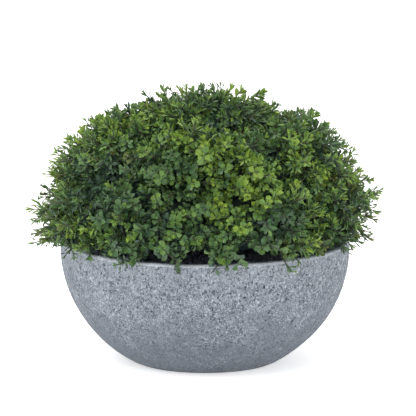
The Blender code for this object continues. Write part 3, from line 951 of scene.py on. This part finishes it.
def growLeaves(shoots, rng):
    leaves = {(tint, plain): [] for tint in tints for plain in (False, True)}
    joints = []
    vary = leaf["vary"]
    patchScale, patchShare = leaf["narrowPatches"]
    lighter, unlike = leaf["oddChances"]
    for shoot in shoots:
        mass, kind, direction = shoot["mass"], shoot["kind"], shoot["direction"]
        tint = pickTint(direction, shoot["share"], rng)
        sideways = max(abs(direction.x), direction.z - leaf["narrowTop"])
        patchy = noise.noise(direction * patchScale + Vector((2.0, 8.0, 3.0)))
        towards = sideways + patchShare * patchy + rng.gauss(0.0, vary["narrow"])
        narrow = smoothStep(*leaf["narrowBand"], towards)
        if kind == "deep":
            narrow = min(leaf["deepNarrowMost"], narrow)
        size = rng.gauss(1.0, vary["size"])
        stretch = size * rng.uniform(*leaf["stretch"]) * (1.0 + 0.25 * narrow)
        turn = rng.uniform(0.0, math.pi)
        side = None
        limit = outlineShare(mass, direction) * growth["leafReach"]
        openness = rng.uniform(*leaf["narrowOpenness" if narrow > 0.5 else "openness"])
        rusty = rng.random() < leaf["rustyChance"]
        for pair, (below, spread, share) in enumerate(leaf["pairs"][:leaf["pairCount"][kind]]):
            distance = below * rng.uniform(*vary["below"]) * stretch
            place, along = pointBelowTip(shoot["path"], distance)
            if place is None:
                break
            side = side or along.orthogonal()
            side = (side - along * side.dot(along)).normalized()
            young = share < leaf["youngShare"]
            ownTint = tint
            if kind != "long" and (young or (share < 0.8 and rng.random() < 0.5)):
                ownTint = shifted(tint, 1)
            elif pair > 3 or (pair == 3 and rng.random() < 0.5):
                ownTint = shifted(tint, -1)
            for half in (0.0, math.pi):
                angle = turn + half + rng.gauss(0.0, vary["angle"])
                outward = Matrix.Rotation(angle, 3, along) @ side
                opened = spread * openness + rng.gauss(0.0, vary["opening"])
                opened = math.radians(min(leaf["widestOpening"], opened))
                blade = along * math.cos(opened) + outward * math.sin(opened)
                face = (along - blade * along.dot(blade)).normalized()
                face = Matrix.Rotation(rng.gauss(0.0, vary["roll"]), 3, blade) @ face
                length = leaf["length"] * share * size * (1.0 + leaf["narrowLonger"] * narrow)
                length *= rng.uniform(*vary["length"])
                root = place + outward * leaf["rootOffset"]
                tip = root + blade * length
                middle = root + blade * length * 0.6
                if unstretched(tip).length > limit:
                    continue
                if not all(clearOfBowl(point, shoot["lifted"]) for point in (tip, middle)):
                    continue
                if intoSpace(mass, tip) < -growth["spaceSpare"]:
                    continue
                slim = max(narrow, leaf["youngSlim"] if young else 0.0)
                width = leaf["width"] + (leaf["narrowWidth"] - leaf["width"]) * slim
                width *= share * size * rng.uniform(*vary["width"])
                plain = kind == "deep" or pair >= leaf["plainBelow"] or slim > 0.8
                odd = rng.random()
                leafTint = ownTint
                if odd < unlike:
                    leafTint = shifted(ownTint, 1 if odd < lighter else -1)
                leaves[leafTint, plain].append((
                    *root, *blade, *face.cross(blade), *face, length, width, slim,
                    rng.uniform(*leaf["cup"]), rng.uniform(*leaf["droop"]),
                ))
            if rusty and not young:
                joints.append((place, along))
            turn += math.pi / 2.0 + rng.gauss(0.0, vary["turn"])
    return {kind: np.array(rows) for kind, rows in leaves.items()}, joints


def makeLeafMesh(name, rows, plain):
    along, across = np.array(leaf["rows"]), np.array(leaf["columns"])
    spoon, lance = np.array(leaf["spoon"]), np.array(leaf["lance"])
    if plain:
        kept = list(leaf["plainRows"])
        along, spoon, lance = along[kept], spoon[kept], lance[kept]
        across = across[list(leaf["plainColumns"])]
    root, blade, side, face = (rows[:, i:i + 3] for i in (0, 3, 6, 9))
    length, width, slim, cup, droop = (rows[:, i, None, None] for i in range(12, 17))
    outline = spoon[None, :, None] * (1.0 - slim) + lance[None, :, None] * slim
    half = 0.5 * width * outline
    down = along[None, :, None]
    x = length * (down - 0.05 * down ** 4 * across ** 2)
    y = half * across
    z = cup * half * outline * across ** 2 - leaf["fold"] * half * (1.0 - np.abs(across))
    z = z - droop * length * down ** 2
    points = (
        root[:, None, None, :] + x[..., None] * blade[:, None, None, :]
        + y[..., None] * side[:, None, None, :] + z[..., None] * face[:, None, None, :]
    )
    nRows, nColumns = len(along), len(across)
    quads = []
    for i in range(nRows - 1):
        for k in range(nColumns - 1):
            a = i * nColumns + k
            quads.append((a, a + nColumns, a + nColumns + 1, a + 1))
    starts = np.arange(len(rows))[:, None, None] * nRows * nColumns
    quads = (starts + np.array(quads)[None]).reshape(-1, 4)
    mesh = meshFromQuads(name, points.reshape(-1, 3), quads)
    # 0 at the foot of the leaf, where shade is painted, 0.4 over its face, 1 at its edge, where a
    # highlight is painted
    shadeToHighlight = np.maximum(np.abs(across)[None, :] ** 3, (along[:, None] > 0.94) * 0.9)
    shadeToHighlight = np.minimum(1.0, 1.9 * along[:, None]) * (0.4 + 0.6 * shadeToHighlight)
    shadeToHighlight = np.tile(shadeToHighlight.ravel(), len(rows)).astype(np.float32)
    mesh.attributes.new("shadeToHighlight", "FLOAT", "POINT").data.foreach_set("value", shadeToHighlight)
    return mesh


leafFinish = {
    # each times the face's colour, then the mottling
    "warmer": ((1.30, 1.14, 1.0), (95.0, 0.9)),
    "cooler": ((0.72, 0.86, 1.15), (38.0, 0.6)),
    # the darker colour at the foot of each leaf is painted shade
    "foot": (0.45, 0.50, 0.95), "footShadeBand": (0.0, 0.4, 0.9, 0.0),
    # the paler edge is a painted highlight
    "edgeHighlightBand": (0.62, 1.0, 0.0, 0.85), "under": 0.7, "grain": (700.0, 0.24, 0.40),
    "bump": (0.25, 0.0003), "specular": 0.38,
}


def makeLeafMaterial(tint, face, edge):
    material, tree, shader = startMaterial(f"leaf_{tint}")
    body = face
    for key in ("warmer", "cooler"):
        factors, mottle = leafFinish[key]
        body = useMottling(tree, body, tuple(c * f for c, f in zip(face, factors)), *mottle)
    shadeToHighlight = addNode(tree, "ShaderNodeAttribute", attribute_name="shadeToHighlight").outputs["Fac"]
    # painted shade towards the foot of the leaf
    foot = tuple(c * f for c, f in zip(face, leafFinish["foot"]))
    body = washOver(tree, body, foot, shadeToHighlight, leafFinish["footShadeBand"])
    # a painted highlight along the leaf's edge
    body = washOver(tree, body, edge, shadeToHighlight, leafFinish["edgeHighlightBand"])
    behind = addNode(tree, "ShaderNodeNewGeometry").outputs["Backfacing"]
    under = tuple(0.6 * c + 0.4 * e for c, e in zip(face, edge))
    behind = mathNode(tree, "MULTIPLY", behind, leafFinish["under"])
    useFinish(tree, shader, mixColours(tree, behind, body, under), leafFinish)
    return material


leafRows, joints = growLeaves(mainShoots + fineShoots, rng)
leafMaterials = {tint: makeLeafMaterial(tint, *colours) for tint, colours in tints.items()}
leafTriangles = 0
for (tint, plain), rows in leafRows.items():
    name = f"inner_leaves_{tint}" if plain else f"leaves_{tint}"
    mesh = makeLeafMesh(name, rows, plain)
    placePiece(name, mesh, leafMaterials[tint], foliageNodes)
    leafTriangles += 2 * len(mesh.polygons)
    print(name, len(rows), "with", 2 * len(mesh.polygons), "triangles")
print("leaves in all:", sum(map(len, leafRows.values())), "with", leafTriangles, "triangles")


# twigs and their joints

olderTwig = (0.066, 0.066, 0.042)
twigFinish = {
    **barkFinish, "colours": ((0.048, 0.070, 0.042), olderTwig), "mottling": (60.0, 0.9),
}
jointFinish = {
    **barkFinish, "colours": ((0.17, 0.115, 0.03), olderTwig), "mottling": (90.0, 0.9),
}


def makeTwigMesh():
    points, faces = [], []
    for path, (thick, thin) in stems:
        addTube(points, faces, path, [thick, thin], 5)
    for shoot in mainShoots + fineShoots:
        thick, thin = growth["mainRadii" if shoot["kind"] in ("main", "long") else "fineRadii"]
        radii = spaced(thick, thin, len(shoot["path"]))
        addTube(points, faces, shoot["path"], radii, 4 if shoot["kind"] == "main" else 3)
    return meshFromLists("twigs", points, faces)


def makeJointMesh(rng):
    points, faces = [], []
    for place, along in joints:
        reach = along * 0.0008
        wide = rng.uniform(0.0007, 0.0010)
        addTube(points, faces, [place - reach, place, place + reach], [0.0004, wide, 0.0004], 5)
    return meshFromLists("twig_joints", points, faces)


twigMaterial = mottledMaterial("twig", twigFinish)
jointMaterial = mottledMaterial("twigJoint", jointFinish)
placePiece("twigs", makeTwigMesh(), twigMaterial, foliageNodes)
placePiece("twig_joints", makeJointMesh(rng), jointMaterial, foliageNodes)
print("twigs and", len(joints), "joints made")


# the dark heart of each mass, behind the leaves: it fills the inside as the dense inner growth
# does, and its dark colour is painted shade

heart = {
    "inner": 0.46, "middle": 0.60, "outer": 0.73, "bottomZ": 0.136, "clearance": 0.0002,
    "lumps": 0.004,
}
heartFinish = {
    # dark colours that stand for the shade inside the crown: painted shade
    "colours": ((0.026, 0.040, 0.044), (0.050, 0.078, 0.064)),
    "mottling": (170.0, 0.9), "grain": (420.0, 0.8, 1.0), "bump": (0.9, 0.002),
    "specular": 0.2,
}


def reachInSpace(mass, centre, way):
    # how far from the centre a point may go this way and stay in the mass's inner space
    limits = []
    for slope in mass["slopes"]:
        closing = way.dot(slope)
        if closing < 0.0:
            room = (centre - crown["centre"]).dot(slope) - heart["clearance"]
            limits.append(room / -closing)
    axis = (atShare(mass["direction"], 1.0) - crown["centre"]).normalized()
    if way.dot(axis) < 0.0:
        room = (centre - atShare(mass["direction"], heart["inner"])).dot(axis)
        limits.append(room / -way.dot(axis))
    if way.z < 0.0:
        limits.append((centre.z - heart["bottomZ"]) / -way.z)
    at = unstretched(centre)
    step = unstretched(centre + way) - at
    a, b, c = step.length_squared, at.dot(step), at.length_squared - heart["outer"] ** 2
    outward = (-b + math.sqrt(b * b - a * c)) / a
    return max(0.0, min(limits + [outward])), outward <= min(limits, default=outward)


def makeHeartMesh():
    ball = bpy.data.meshes.new("ball")
    shaped = bmesh.new()
    bmesh.ops.create_icosphere(shaped, subdivisions=4, radius=1.0)
    shaped.to_mesh(ball)
    shaped.free()
    ways = [vert.co.copy() for vert in ball.vertices]
    ballFaces = [tuple(face.vertices) for face in ball.polygons]
    bpy.data.meshes.remove(ball)
    points, faces = [], []
    for mass in masses:
        centre = atShare(mass["direction"], heart["middle"])
        start = len(points)
        for way in ways:
            reach, isOuter = reachInSpace(mass, centre, way)
            place = centre + way * reach
            lump = heart["lumps"] * (noise.noise(place * 95.0) - 0.5) if isOuter else 0.0
            points.append(centre + way * max(0.002, reach + lump))
        faces += [tuple(start + corner for corner in face) for face in ballFaces]
    return meshFromLists("painted_shade_heart", points, faces)


heartMaterial = mottledMaterial("paintedShadeHeart", heartFinish)
placePiece("painted_shade_heart", makeHeartMesh(), heartMaterial, foliageNodes)
print("dark heart made")


# studio: floor, light and camera

studio = {
    "floorSize": 14.0, "floorColour": (0.88, 0.88, 0.88), "floorGlow": 0.52,
    "worldStrength": 1.05,
    # power, place and size
    "lights": {
        "keyLight": (46.0, (-1.5, -2.2, 2.6), 1.8),
        "topLight": (28.0, (0.3, 0.3, 2.6), 2.2),
    },
    "cameraAim": (0.003, 0.0, 0.159), "cameraDistance": 4.0, "cameraElevation": 9.9,
    "lens": 334.0,
}


def makeFloor():
    half = studio["floorSize"] / 2.0
    corners = [(-half, -half, 0.0), (half, -half, 0.0), (half, half, 0.0), (-half, half, 0.0)]
    mesh = meshFromLists("floor", corners, [(0, 1, 2, 3)], smooth=False)
    floor = addObject("floor", mesh)
    material, tree, shader = startMaterial("paleFloor")
    shader.inputs["Base Color"].default_value = (*studio["floorColour"], 1.0)
    shader.inputs["Roughness"].default_value = 0.9
    shader.inputs["Emission Color"].default_value = (1.0, 1.0, 1.0, 1.0)
    shader.inputs["Emission Strength"].default_value = studio["floorGlow"]
    mesh.materials.append(material)
    floor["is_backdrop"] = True


def addSoftLight(name, power, place, size):
    light = bpy.data.lights.new(name, "AREA")
    light.energy, light.size, light.shape = power, size, "DISK"
    lamp = addObject(name, light)
    lamp.location = place
    aim = Vector((0.0, 0.0, 0.15)) - Vector(place)
    lamp.rotation_euler = aim.to_track_quat("-Z", "Y").to_euler()


def makeWorld():
    world = bpy.data.worlds.new("studio")
    bpy.context.scene.world = world
    world.use_nodes = True
    background = world.node_tree.nodes["Background"]
    background.inputs["Color"].default_value = (1.0, 1.0, 1.0, 1.0)
    background.inputs["Strength"].default_value = studio["worldStrength"]


def makeCamera():
    camera = addObject("camera", bpy.data.cameras.new("camera"))
    up = math.radians(studio["cameraElevation"])
    back = Vector((0.0, -math.cos(up), math.sin(up)))
    camera.location = Vector(studio["cameraAim"]) + back * studio["cameraDistance"]
    camera.rotation_mode = "QUATERNION"
    camera.rotation_quaternion = (-back).to_track_quat("-Z", "Y")
    camera.data.lens = studio["lens"]
    camera.data.sensor_width = 36.0
    camera.data.clip_start, camera.data.clip_end = 0.1, 50.0
    bpy.context.scene.camera = camera


makeFloor()
makeWorld()
for name, settings in studio["lights"].items():
    addSoftLight(name, *settings)
makeCamera()
bpy.context.scene.view_settings.view_transform = "Standard"
print("studio ready")

boxes = {"cad": cadBox, "visual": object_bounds()}
{name: [list(corner) for corner in box] for name, box in boxes.items()}
